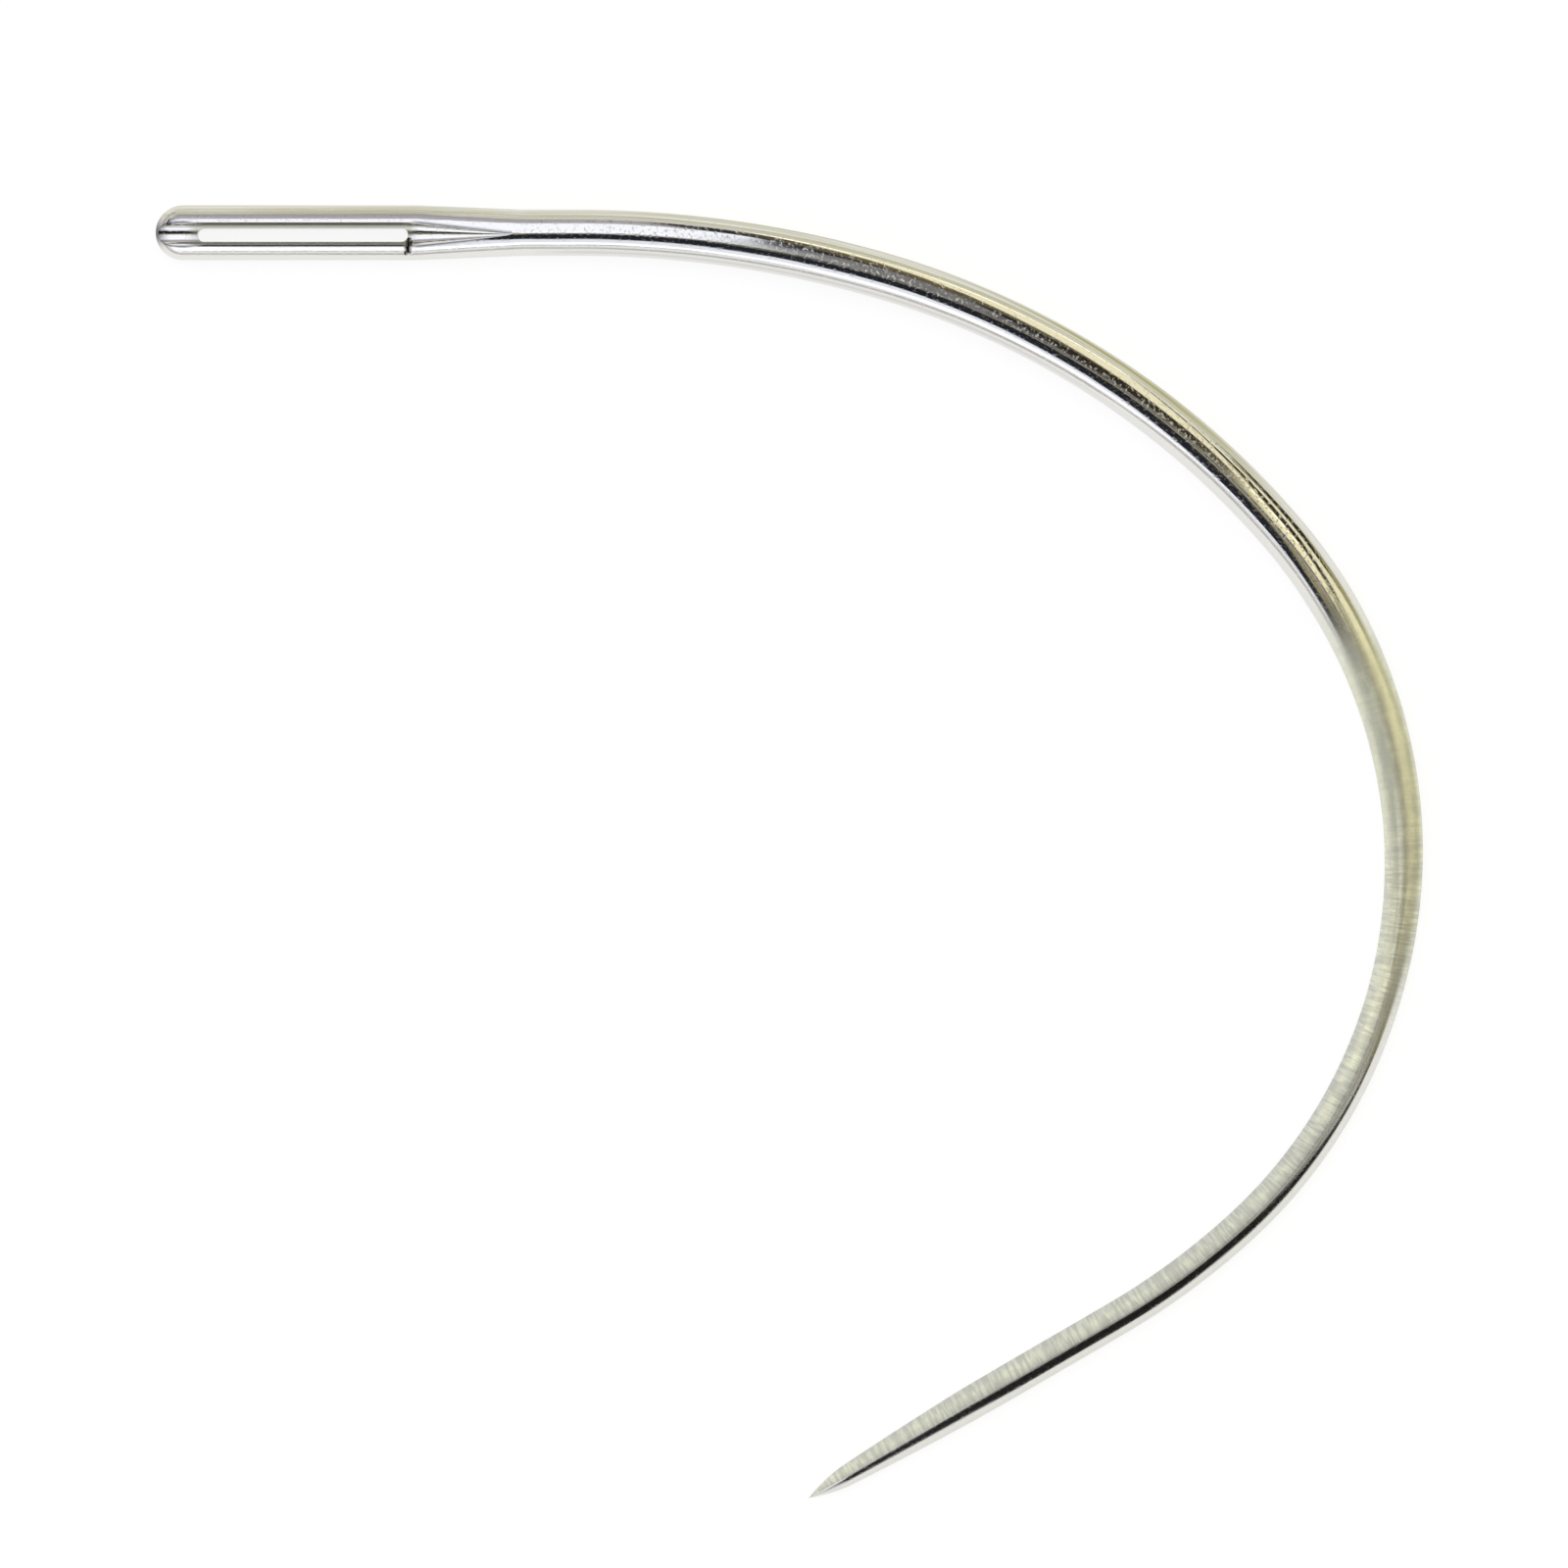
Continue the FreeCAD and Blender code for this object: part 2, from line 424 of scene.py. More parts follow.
    def floor(self, station: float, side: Side, away: float) -> float:
        """Find the height of the gutter's floor, or of the oval where there is no gutter.

        Args:
            station: distance from the end.
            side: which side of the needle.
            away: distance from the eye's middle line.

        Returns:
            The height above the wire's middle.
        """
        radius, axis = self.gutter(station)
        if self.rim(station, side) == 0.0:
            return self.crown(station, self.middle(station) + side.value * away)
        return axis - math.sqrt(max(0.0, radius ** 2 - away ** 2))

    def row(self, station: float, side: Side, face: Face) -> list[Corner]:
        """Make a quarter of a section, from the side over the rim and gutter to the slot.

        Args:
            station: distance from the end.
            side: which side of the needle.
            face: which face of the head.

        Returns:
            The corners in order.
        """
        wide, thick = self.oval(station)
        middle = self.middle(station)
        rim, inner = self.rim(station, side), self.eye_half(station)
        rim_across = side.value * middle + rim
        edge_angle = math.acos(min(1.0, rim_across / wide)) if wide > 0 else math.pi / 2
        beside = self.beside_eye(station)
        places = []
        for index in range(self.side_steps + 1):
            angle = edge_angle * index / self.side_steps
            across = side.value * wide * math.cos(angle)
            # The gutter's rim past the slot gets painted shade, and the outer side a painted yellow
            # reflection tint.
            at_rim = self.rim_painted_shade * (1 - beside) if rim > 0 and index == self.side_steps else 0.0
            reflection_tint = self.outer_painted_tint * OUTER_PAINTED_TINT.at(across / max(wide, WELD))
            places.append((across, thick * math.sin(angle), 0.0, at_rim, reflection_tint))
        # The inner gutter gets painted shade, and the outer gutter a painted yellow reflection tint.
        finish_and_paint = (self.gutter_rough * beside, self.gutter_painted_shade * beside, 0.0)
        if side is Side.OUTER:
            finish_and_paint = (self.outer_gutter_rough * beside, 0.0, self.gutter_painted_tint * beside)
        for index in range(1, self.gutter_steps + 1):
            away = rim + (inner - rim) * index / self.gutter_steps
            places.append((middle + side.value * away, self.floor(station, side, away), *finish_and_paint))
        corners = []
        for across, height, ground, painted_shade, reflection_tint in places:
            # The cut gets painted shade, and the dome's very end a painted dark reflection.
            cut = self.notch(station, across) if face is Face.TOP else 0.0
            spot = Vector((station, across, face.value * (height - self.notch_depth * cut)))
            corners.append(Corner(spot, ground, max(cut, painted_shade, self.painted_end_dark(station, across)), reflection_tint))
        return corners

    def wall_row(self, station: float, side: Side) -> list[Corner]:
        """Make the slot's wall at one place, from the upper gutter to the lower one.

        Args:
            station: distance from the end.
            side: which side of the needle.

        Returns:
            The corners in order.
        """
        away = self.eye_half(station)
        across = self.middle(station) + side.value * away
        low = self.floor(station, side, away)
        top = low - self.notch_depth * self.notch(station, across)
        corners = []
        for index in range(self.wall_steps + 1):
            level = top - (top + low) * index / self.wall_steps
            # The slot's wall gets painted shade.
            corners.append(Corner(Vector((station, across, level)), self.gutter_rough, self.wall_painted_shade))
        return corners

    def stations(self) -> list[float]:
        """Choose where the sections stand: close together on the dome, the slot's round ends and the cut.

        Returns:
            The distances from the end, in order.
        """
        dome, radius = self.width / 2, self.eye_radius
        cut = (self.notch_at - self.notch_half, self.notch_at + self.notch_half)
        places = {self.eye_from_end, self.eye_end, self.length, self.end}
        places.update(steps(*cut, self.notch_half / self.notch_steps))
        for index in range(self.dome_steps + 1):
            round_off = 1 - math.cos(math.pi / 2 * index / self.dome_steps)
            places.add(dome * round_off)
            places.add(self.eye_from_end + radius * round_off)
            places.add(self.eye_end - radius * round_off)
        places.update(steps(dome, self.end, self.pitch))
        kept: list[float] = []
        fixed = (self.eye_from_end, self.eye_end, self.end)
        for place in sorted(places):
            if not kept or place - kept[-1] >= self.closest:
                kept.append(place)
            elif place in fixed:
                kept[-1] = place
        return kept

    def build(self, skin: Skin) -> None:
        """Add the head's surface to the skin.

        Args:
            skin: the needle's surface.
        """
        stations = self.stations()
        slot = [station for station in stations if self.eye_from_end <= station <= self.eye_end]
        for side in Side:
            for face in Face:
                skin.grid([self.row(station, side, face) for station in stations])
            skin.grid([self.wall_row(station, side) for station in slot])


@dataclass(frozen=True)
class Blade:
    """The round wire, drawn thinner, with three faces ground on it that meet at the point.

    Stations are distances from the eye end. All other places along it are distances from the tip.
    """

    start: float
    length: float
    drawn: float = 1.18
    draw_start: float = 36.7
    draw_end: float = 29.7
    facet_start: float = 47.2
    shallow_run: float = 4.0
    shallow_depth: float = 0.11
    deep: Fade = Fade(36.2, -13.0)
    inradius: float = 0.32
    point: float = 7.2
    point_bulge: float = 0.08
    # The last of the point is ground a little blunter.
    point_end: float = 1.3
    point_end_share: float = 0.58
    point_end_bulge: float = 0.1
    facet_angles: tuple[float, ...] = (30.0, 150.0, 270.0)
    land_half_degrees: float = 0.7
    # How far the upper faces swell, and how much of the first, shallow grind polishing rounded over again.
    outer_belly: float = 0.17
    inner_belly: float = 0.09
    rounded: float = 0.85
    # The wheel's finish. The outer face is honed smooth again before the point.
    ground: Fade = Fade(38.0, -4.5)
    honed: Fade = Fade(22.0, 4.5, 0.16)
    streaked: Fade = Fade(31.0, -6.0, 0.15)
    # A painted sheen and highlight: the ground steel is painted bright past the bow, and then in a stripe
    # that drifts inwards to the point.
    bright: Fade = Fade(20.0, 10.0)
    painted_sheen_share: float = 0.8
    stripe_drift: Fade = Fade(34.0, -14.0)
    stripe_at: float = 0.27
    stripe_shift: float = -0.66
    stripe_half: float = 0.17
    stripe_peak: Fade = Fade(18.0, 6.0, 0.6)
    # A painted yellow reflection tint lies on the middle of the ground faces.
    olive: Fade = Fade(19.0, 8.0)
    olive_share: float = 0.45
    olive_across: Hump = Hump(-0.1, 0.4)
    # The outer side has a painted yellow reflection tint all along the bend, and less on the blade. This one
    # starts at a station.
    rim: Fade = Fade(14.0, 6.0, 0.6)
    rim_end: Fade = Fade(37.0, 6.0, 0.15)
    # A painted yellow line, a painted reflection, lies beside the painted highlight stripe.
    shoulder_start: Fade = Fade(42.0, -4.0)
    shoulder_end: Fade = Fade(24.0, 10.0)
    shoulder_share: float = 0.35
    shoulder_across: Hump = Hump(0.56, 0.1)
    # A thin painted dark line lies low on the inside of the bend, from the head to this station: a painted
    # reflection of the needle's shadow on the table.
    shade_line_run: float = 2.0
    shade_line_end: Fade = Fade(32.0, -6.0)
    shade_line_share: float = 0.22
    shade_line_across: Hump = Hump(-0.85, 0.05)
    # Short cuts across the inner face.
    nicks: tuple[float, ...] = (4.6, 7.3, 12.1)
    nick_half: float = 0.05
    nick_depth: float = 0.07
    nick_steps: int = 2
    arc_steps: int = 16
    facet_steps: int = 16
    pitch: float = 0.2
    point_pitch: float = 0.1
    tip_pitch: float = 0.05

    def radius(self, from_tip: float) -> float:
        """Return the wire's radius at a distance from the tip."""
        share = (self.draw_start - from_tip) / (self.draw_start - self.draw_end)
        return WIRE / 2 + (self.drawn - WIRE) / 2 * min(max(share, 0.0), 1.0)

    def depth(self, from_tip: float) -> tuple[float, float]:
        """Find how far the ground faces stand from the wire's middle.

        Args:
            from_tip: distance from the tip.

        Returns:
            The distance, and the share of the deep grind there.
        """
        full = WIRE / 2
        if from_tip >= self.facet_start:
            return full, 0.0
        shallow = math.tanh((self.facet_start - from_tip) / self.shallow_run)
        deep = self.deep.at(from_tip)
        offset = full - self.shallow_depth * shallow
        offset -= (full - self.shallow_depth - self.inradius) * deep
        if from_tip < self.point:
            offset = min(offset, self.point_depth(from_tip))
        return offset, deep

    def point_depth(self, from_tip: float) -> float:
        """Find how far the point's faces stand from the middle: two shallow bows that end at nothing.

        Args:
            from_tip: distance from the tip.

        Returns:
            The distance.
        """
        knee = self.inradius * self.point_end_share
        if from_tip < self.point_end:
            share = from_tip / self.point_end
            return knee * share + self.point_end_bulge * share * (1 - share)
        share = (from_tip - self.point_end) / (self.point - self.point_end)
        return knee + (self.inradius - knee) * share + self.point_bulge * share * (1 - share)

    def nick(self, from_tip: float, place: float) -> float:
        """Return the depth of a short cut across the inner face, 0 beside the cuts."""
        nearest = min(abs(from_tip - nick) for nick in self.nicks)
        depth = self.nick_depth * max(0.0, 1 - nearest / self.nick_half)
        return depth * max(0.0, place) * (1 - place * place)

    def row(self, station: float) -> list[Corner]:
        """Make one section: three ground faces and the round lands between them.

        Args:
            station: distance from the eye end.

        Returns:
            The corners round the section, with the first again at the end.
        """
        from_tip = max(0.0, self.length - station)
        offset, deep = self.depth(from_tip)
        sector = math.tau / len(self.facet_angles)
        sharpest = sector / 2 - math.radians(self.land_half_degrees)
        reach = min(self.radius(from_tip), offset / math.cos(sharpest))
        half = math.acos(min(1.0, offset / reach)) if reach > 0 else sharpest
        shallow = max(0.0, self.rounded * (1 - deep) * (self.radius(from_tip) - offset))
        corners = []
        for degrees in self.facet_angles:
            middle = math.radians(degrees)
            facing = Vector((0, math.cos(middle), math.sin(middle)))
            along_face = Vector((0, -math.sin(middle), math.cos(middle)))
            belly = self.outer_belly if facing.y > 0 else self.inner_belly
            swell = belly * deep * offset / self.inradius + shallow if facing.z > 0 else 0.0
            honed = facing.y > 0 and facing.z > 0
            for index in range(self.facet_steps + 1):
                place = 2 * index / self.facet_steps - 1
                bow = offset + swell * (1 - place * place)
                if facing.y < 0 < facing.z:
                    bow -= self.nick(from_tip, place)
                spot = facing * bow + along_face * (reach * math.sin(half) * place)
                spot.x = station
                corners.append(self.corner(spot, reach, from_tip, honed))
            sweep = sector - 2 * half
            for index in range(1, self.arc_steps):
                angle = middle + half + sweep * index / self.arc_steps
                spot = Vector((station, reach * math.cos(angle), reach * math.sin(angle)))
                corners.append(self.corner(spot, reach, from_tip, False))
        corners.append(corners[0])
        return corners

    def corner(self, spot: Vector, reach: float, from_tip: float, honed: bool) -> Corner:
        """Make a corner with its finish and painted light: polished shank, ground past the bow, pale point.

        Args:
            spot: its place on the straightened needle.
            reach: the section's largest radius.
            from_tip: distance from the tip.
            honed: whether it is on the face that is honed smooth again.

        Returns:
            The corner.
        """
        across = spot.y / max(reach, WELD)
        ground = self.ground.at(from_tip)
        # Painted yellow reflection tint: on the middle of the ground faces, on the outer side, and in the
        # shoulder line.
        olive = self.olive_share * ground * self.olive.at(from_tip)
        rim = self.rim.at(spot.x) * self.rim_end.at(from_tip)
        shoulder = self.shoulder_share * self.shoulder_start.at(from_tip) * self.shoulder_end.at(from_tip)
        reflection_tint = max(
            olive * self.olive_across.at(across),
            rim * OUTER_PAINTED_TINT.at(across),
            shoulder * self.shoulder_across.at(across),
        )
        # A painted dark line low on the inside, a painted reflection of the needle's shadow on the table.
        line = Fade(self.start, self.shade_line_run).at(spot.x) * self.shade_line_end.at(spot.x)
        painted_shade = self.shade_line_share * line * self.shade_line_across.at(across)
        # The painted sheen: bright ground steel past the bow, and a painted highlight stripe.
        middle = reach * (self.stripe_at + self.stripe_shift * self.stripe_drift.at(from_tip))
        stripe = self.stripe_peak.at(from_tip) * Hump(middle, self.stripe_half).at(spot.y)
        sheen = min(1.0, self.painted_sheen_share * self.bright.at(from_tip) + stripe)
        if honed:
            ground *= self.honed.at(from_tip)
        return Corner(spot, ground, painted_shade, reflection_tint, sheen, self.streaked.at(from_tip))

    def build(self, skin: Skin) -> None:
        """Add the shank and blade to the skin.

        Args:
            skin: the needle's surface.
        """
        point = self.length - self.point
        last = self.length - self.point_end
        places = set(steps(self.start, point, self.pitch))
        places.update(steps(point, last, self.point_pitch))
        places.update(steps(last, self.length, self.tip_pitch))
        for nick in self.nicks:
            at = self.length - nick
            places.update(steps(at - self.nick_half, at + self.nick_half, self.nick_half / self.nick_steps))
        skin.grid([self.row(station) for station in sorted(places)])


def add_node(
    tree: Tree,
    kind: str,
    settings: dict[str, object] | None = None,
    links: dict[str, Socket] | None = None,
) -> bpy.types.Node:
    """Add a node with its settings and links.

    Args:
        tree: the node tree to add to.
        kind: the node's type, without the word ShaderNode before it.
        settings: values by socket name, or by the node's own property name.
        links: sockets to link, by the new node's socket name.

    Returns:
        The node.
    """
    node = tree.nodes.new("ShaderNode" + kind)
    for name, value in (settings or {}).items():
        if hasattr(node, name):
            setattr(node, name, value)
        else:
            open_socket(node, name).default_value = value
    for name, socket in (links or {}).items():
        tree.links.new(socket, open_socket(node, name))
    return node


def open_socket(node: bpy.types.Node, name: str) -> Socket:
    """Find an input of a node.

    Args:
        node: the node.
        name: the input's number, its identifier, or the name of one that is in use.

    Returns:
        The input.
    """
    if name.isdigit():
        return node.inputs[int(name)]
    return next(
        socket for socket in node.inputs
        if name == socket.identifier or (name == socket.name and socket.enabled)
    )


class Steering(NamedTuple):
    """What steers the plate's shader, each from 0 to 1.

    The first four come with the skin: ground, painted shade, a painted yellow reflection tint and a painted
    sheen.
    Marks are the wheel's, lines run along the wire, and patches are broad and soft. The others are stretched
    until
    they clip: gloss where the painted sheen is strongest, raised where marks stand up, spread where painted
    glints stand close, the lines that the painted tint follows, and pits.
    """

    ground: Socket
    painted_shade: Socket
    painted_tint: Socket
    sheen: Socket
    marks: Socket
    lines: Socket
    patches: Socket
    gloss: Socket
    raised: Socket
    spread: Socket
    tint_lines: Socket
    pits: Socket


@dataclass(frozen=True)
class NickelPlate:
    """Bright nickel plate over hardened steel, tumbled smooth on the wire and ground on the blade.

    Nickel gives the eye a slightly warm silver. On the wire it mirrors its surroundings sharply. On the
    blade, marks from the wheel run across the faces and blur the mirror into pale and dark streaks. Painted
    glints, a painted sheen, a painted yellow reflection tint and painted shade lie on its colour.
    """

    name: str = "nickel_plated_steel"
    polished: str = "#E3E2DE"
    ground: str = "#D6D8D0"
    ground_low: str = "#C0C2BB"
    # The colours of the painted glint, of the painted yellow reflection tint and of the painted shade.
    painted_glint: str = "#FFFFE2"
    painted_tint: str = "#A4A16C"
    painted_shade: str = "#302F3E"
    polished_roughness: float = 0.07
    polished_spread: float = 0.04
    ground_roughness: float = 0.52
    ground_spread: float = 0.16
    # Where the painted sheen is strongest the ground steel is smoother by this much. The pairs, here and
    # below, are a gain and an offset that stretch a value until it clips at 0 and 1.
    glossier: float = 0.14
    gloss: tuple[float, float] = (5.0, -4.0)
    # Wheel marks are about 0.02 mm apart on the real needle. They are drawn at 0.1 mm, so that they show.
    grind_pitch: float = 0.1
    grind_run: float = 1.1
    grind_height: float = 0.006
    raised: tuple[float, float] = (6.0, -2.6)
    # Where no marks show, they are held at the middle of the noise.
    unmarked: float = 0.5
    # Lines along the wire from drawing and polishing it, some 0.12 mm apart. The painted yellow tint follows
    # them.
    draw_pitch: float = 0.12
    draw_run: float = 9.0
    draw_height: float = 0.0022
    tint_lines: tuple[float, float] = (3.2, -1.0)
    # Small pits in the plate, 0.1 mm apart.
    pit_pitch: float = 0.1
    pit_depth: float = 0.002
    pitted: tuple[float, float] = (6.0, -3.4)
    # Broad patches where painted glints stand closer, by how many there are to a millimetre along and
    # across.
    patches_along: float = 1.6
    patches_across: float = 3.0
    spread: tuple[float, float] = (5.0, -1.9)
    painted_glint_least: float = 0.4
    noise_detail: float = 3.0
    noise_roughness: float = 0.6

    def material(self) -> bpy.types.Material:
        """Build the material.

        Returns:
            The material.
        """
        material = bpy.data.materials.new(self.name)
        material.use_nodes = True
        tree = material.node_tree
        tree.nodes.clear()
        steering = self.steering(tree)
        low_ground = self.ground_roughness - self.ground_spread / 2
        low_polished = self.polished_roughness - self.polished_spread / 2
        blurred = add_node(
            tree, "Math", {"operation": "MULTIPLY_ADD", "1": -self.glossier, "2": low_ground},
            {"0": steering.gloss},
        ).outputs[0]
        worn = add_node(
            tree, "Math", {"operation": "MULTIPLY_ADD", "1": self.ground_spread},
            {"0": steering.marks, "2": blurred},
        ).outputs[0]
        bright = add_node(
            tree, "Math", {"operation": "MULTIPLY_ADD", "1": self.polished_spread, "2": low_polished},
            {"0": steering.patches},
        ).outputs[0]
        roughness = add_node(tree, "Mix", {}, {"Factor": steering.ground, "A": bright, "B": worn}).outputs[0]
        shader = add_node(
            tree, "BsdfPrincipled", {"Metallic": 1.0},
            {
                "Base Color": self.colour(tree, steering),
                "Roughness": roughness,
                "Normal": self.relief(tree, steering),
            },
        )
        add_node(tree, "OutputMaterial", {}, {"Surface": shader.outputs["BSDF"]})
        return material

    def steering(self, tree: Tree) -> Steering:
        """Read the skin's finish, and add the noises.

        Args:
            tree: the material's node tree.

        Returns:
            What steers the shader.
        """
        straight = add_node(tree, "Attribute", {"attribute_name": "straight"}).outputs["Vector"]
        shares = {
            finish_and_paint: add_node(tree, "Attribute", {"attribute_name": finish_and_paint}).outputs["Fac"]
            for finish_and_paint in FINISHES_AND_PAINTED_LIGHT
        }
        noises = []
        for along, across in (
            (1 / self.grind_pitch, 1 / self.grind_run),
            (1 / self.draw_run, 1 / self.draw_pitch),
            (self.patches_along, self.patches_across),
            (1 / self.pit_pitch, 1 / self.pit_pitch),
        ):
            place = add_node(tree, "Mapping", {"Scale": (along, across, across)}, {"Vector": straight})
            noise = add_node(
                tree, "TexNoise",
                {"Scale": 1.0, "Detail": self.noise_detail, "Roughness": self.noise_roughness},
                {"Vector": place.outputs["Vector"]},
            )
            noises.append(noise.outputs["Fac"])
        wheel, lines, patches, specks = noises
        streaked = shares.pop("streaked")
        marks = add_node(tree, "Mix", {"A": self.unmarked}, {"Factor": streaked, "B": wheel}).outputs[0]
        stretched = {
            name: add_node(
                tree, "Math",
                {"operation": "MULTIPLY_ADD", "1": gain, "2": offset, "use_clamp": True},
                {"0": source},
            ).outputs[0]
            for name, source, (gain, offset) in (
                ("gloss", shares["sheen"], self.gloss),
                ("raised", marks, self.raised),
                ("spread", patches, self.spread),
                ("tint_lines", lines, self.tint_lines),
                ("pits", specks, self.pitted),
            )
        }
        return Steering(marks=marks, lines=lines, patches=patches, **shares, **stretched)

    def colour(self, tree: Tree, steering: Steering) -> Socket:
        """Colour the plate: polished or ground, with painted glints and sheen, a painted yellow tint and
        painted shade.

        Args:
            tree: the material's node tree.
            steering: what steers the shader.

        Returns:
            The colour.
        """
        broken = add_node(
            tree, "Math", {"operation": "MULTIPLY"}, {"0": steering.spread, "1": steering.raised}
        ).outputs[0]
        lit = add_node(
            tree, "Math", {"operation": "MULTIPLY_ADD", "1": 1 - self.painted_glint_least, "2": self.painted_glint_least},
            {"0": broken},
        ).outputs[0]
        # Painted glints: the painted sheen, broken up where the marks stand up.
        painted_glint = add_node(tree, "Math", {"operation": "MULTIPLY"}, {"0": steering.sheen, "1": lit}).outputs[0]
        shown, reflection_tint = (
            add_node(tree, "Math", {"operation": "MULTIPLY"}, {"0": one, "1": other}).outputs[0]
            for one, other in ((painted_glint, steering.ground), (steering.painted_tint, steering.tint_lines))
        )
        wheeled = add_node(
            tree, "Mix",
            {"data_type": "RGBA", "A_Color": linear(self.ground_low), "B_Color": linear(self.ground)},
            {"Factor": steering.raised},
        ).outputs[MIXED_COLOUR]
        plate = add_node(
            tree, "Mix", {"data_type": "RGBA", "A_Color": linear(self.polished)},
            {"Factor": steering.ground, "B_Color": wheeled},
        ).outputs[MIXED_COLOUR]
        # Lay on the painted tint, the painted glints and sheen, and the painted shade.
        for share, colour in ((reflection_tint, self.painted_tint), (shown, self.painted_glint), (steering.painted_shade, self.painted_shade)):
            plate = add_node(
                tree, "Mix", {"data_type": "RGBA", "B_Color": linear(colour)},
                {"Factor": share, "A_Color": plate},
            ).outputs[MIXED_COLOUR]
        return plate

    def relief(self, tree: Tree, steering: Steering) -> Socket:
        """Shape the fine relief: drawing lines and pits on the polished wire, wheel marks on the blade.

        Args:
            tree: the material's node tree.
            steering: what steers the shader.

        Returns:
            The normal.
        """
        pit_height = add_node(
            tree, "Math", {"operation": "MULTIPLY", "1": -self.pit_depth * MM}, {"0": steering.pits}
        ).outputs[0]
        line_height = add_node(
            tree, "Math", {"operation": "MULTIPLY_ADD", "1": self.draw_height * MM},
            {"0": steering.lines, "2": pit_height},
        ).outputs[0]
        mark_height = add_node(
            tree, "Math", {"operation": "MULTIPLY", "1": self.grind_height * MM}, {"0": steering.marks}
        ).outputs[0]
        height = add_node(
            tree, "Mix", {}, {"Factor": steering.ground, "A": line_height, "B": mark_height}
        ).outputs[0]
        bump = add_node(tree, "Bump", {"Strength": 1.0, "Distance": 1.0}, {"Height": height})
        return bump.outputs["Normal"]


@dataclass(frozen=True)
class Needle:
    """The whole needle, one piece of wire."""

    name: str = "needle_plated"
    line: CentreLine = CentreLine()
    head: Head = Head()
    plate: NickelPlate = NickelPlate()
    crease_degrees: float = 35.0
    # It rests on the neck's underside, on the bow's and on the inner lower edge where the point starts.
    lean_degrees: float = 0.7163
    lean_axis: tuple[float, float, float] = (0.97354, -0.22850, 0.0)

    def build(self) -> bpy.types.Object:
        """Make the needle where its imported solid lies.

        Returns:
            The needle.
        """
        skin = Skin(self.line)
        self.head.build(skin)
        Blade(self.head.end, self.line.length).build(skin)
        mesh = skin.mesh(self.name, self.crease_degrees)
        self.lay_down(mesh)
        mesh.materials.append(self.plate.material())
        piece = bpy.data.objects.new(self.name, mesh)
        bpy.context.scene.collection.objects.link(piece)
        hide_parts("needle")
        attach(piece, "root")
        log.info("%s: %.1f mm along the curve", self.name, self.line.length)
        return piece

    def lay_down(self, mesh: bpy.types.Mesh) -> None:
        """Lean the mesh as the needle rests, and put it in its solid's box.

        Args:
            mesh: the needle's mesh, in its own frame.
        """
        low, high = (Vector(corner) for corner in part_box("needle"))
        mesh.transform(Matrix.Rotation(math.radians(self.lean_degrees), 4, Vector(self.lean_axis)))
        places = [vertex.co for vertex in mesh.vertices]
        lowest = Vector(min(place[axis] for place in places) for axis in range(3))
        highest = Vector(max(place[axis] for place in places) for axis in range(3))
        shift = (low + high - lowest - highest) / 2
        shift.z = low.z - lowest.z
        mesh.transform(Matrix.Translation(shift))


def rectangle(name: str, size: tuple[float, float]) -> bpy.types.Mesh:
    """Make a flat rectangle about the origin.

    Args:
        name: the mesh's name.
        size: its sides in metres.

    Returns:
        The mesh.
    """
    wide, tall = size[0] / 2, size[1] / 2
    mesh = bpy.data.meshes.new(name)
    places = [(-wide, -tall, 0), (wide, -tall, 0), (wide, tall, 0), (-wide, tall, 0)]
    mesh.from_pydata(places, [], [(0, 1, 2, 3)])
    return mesh


@dataclass(frozen=True)
class Sheet:
    """A flat part of the studio that the camera doesn't see. Its places and sizes are in metres."""

    name: str
    centre: tuple[float, float, float]
    size: tuple[float, float]
    colour: str
    turn_degrees: float = 0.0
    upright: bool = False

    def put_up(self, piece: bpy.types.Object, front: str) -> None:
        """Put the sheet in its place, turned in its own plane, and hide it from the camera.

        Args:
            piece: the sheet's object.
            front: the object's own axis that faces the needle where the sheet is upright.
        """
        turn = Matrix.Rotation(math.radians(self.turn_degrees), 3, "Z")
        if self.upright:
            facing = Vector((-self.centre[0], -self.centre[1], 0))
            turn = facing.to_track_quat(front, "Y").to_matrix() @ turn
        piece.location = self.centre
        piece.rotation_euler = turn.to_euler()
        piece.visible_camera = False
        bpy.context.scene.collection.objects.link(piece)
        log.info("%s: put up", self.name)


@dataclass(frozen=True)
class Panel(Sheet):
    """A soft lighting panel. Strength is its brightness, where 1 is white."""

    strength: float = 1.0

    def build(self) -> bpy.types.Object:
        """Make the panel as an area lamp. A lamp shines along its own -Z.

        Returns:
            The lamp.
        """
        lamp = bpy.data.lights.new(self.name, "AREA")
        lamp.shape = "RECTANGLE"
        lamp.size, lamp.size_y = self.size
        lamp.energy = self.strength * math.pi * self.size[0] * self.size[1]
        lamp.color = linear(self.colour)[:3]
        piece = bpy.data.objects.new(self.name, lamp)
        self.put_up(piece, "-Z")
        return piece


@dataclass(frozen=True)
class Card(Sheet):
    """A sheet of matt coloured card that only the reflections in the needle show."""

    roughness: float = 0.9

    def build(self) -> bpy.types.Object:
        """Make the card.

        Returns:
            The card.
        """
        mesh = rectangle(self.name, self.size)
        material = bpy.data.materials.new(self.name)
        material.use_nodes = True
        shader = material.node_tree.nodes["Principled BSDF"]
        shader.inputs["Base Color"].default_value = linear(self.colour)
        shader.inputs["Roughness"].default_value = self.roughness
        mesh.materials.append(material)
        piece = bpy.data.objects.new(self.name, mesh)
        self.put_up(piece, "Z")
        piece.visible_diffuse = False
        piece.visible_shadow = False
        return piece


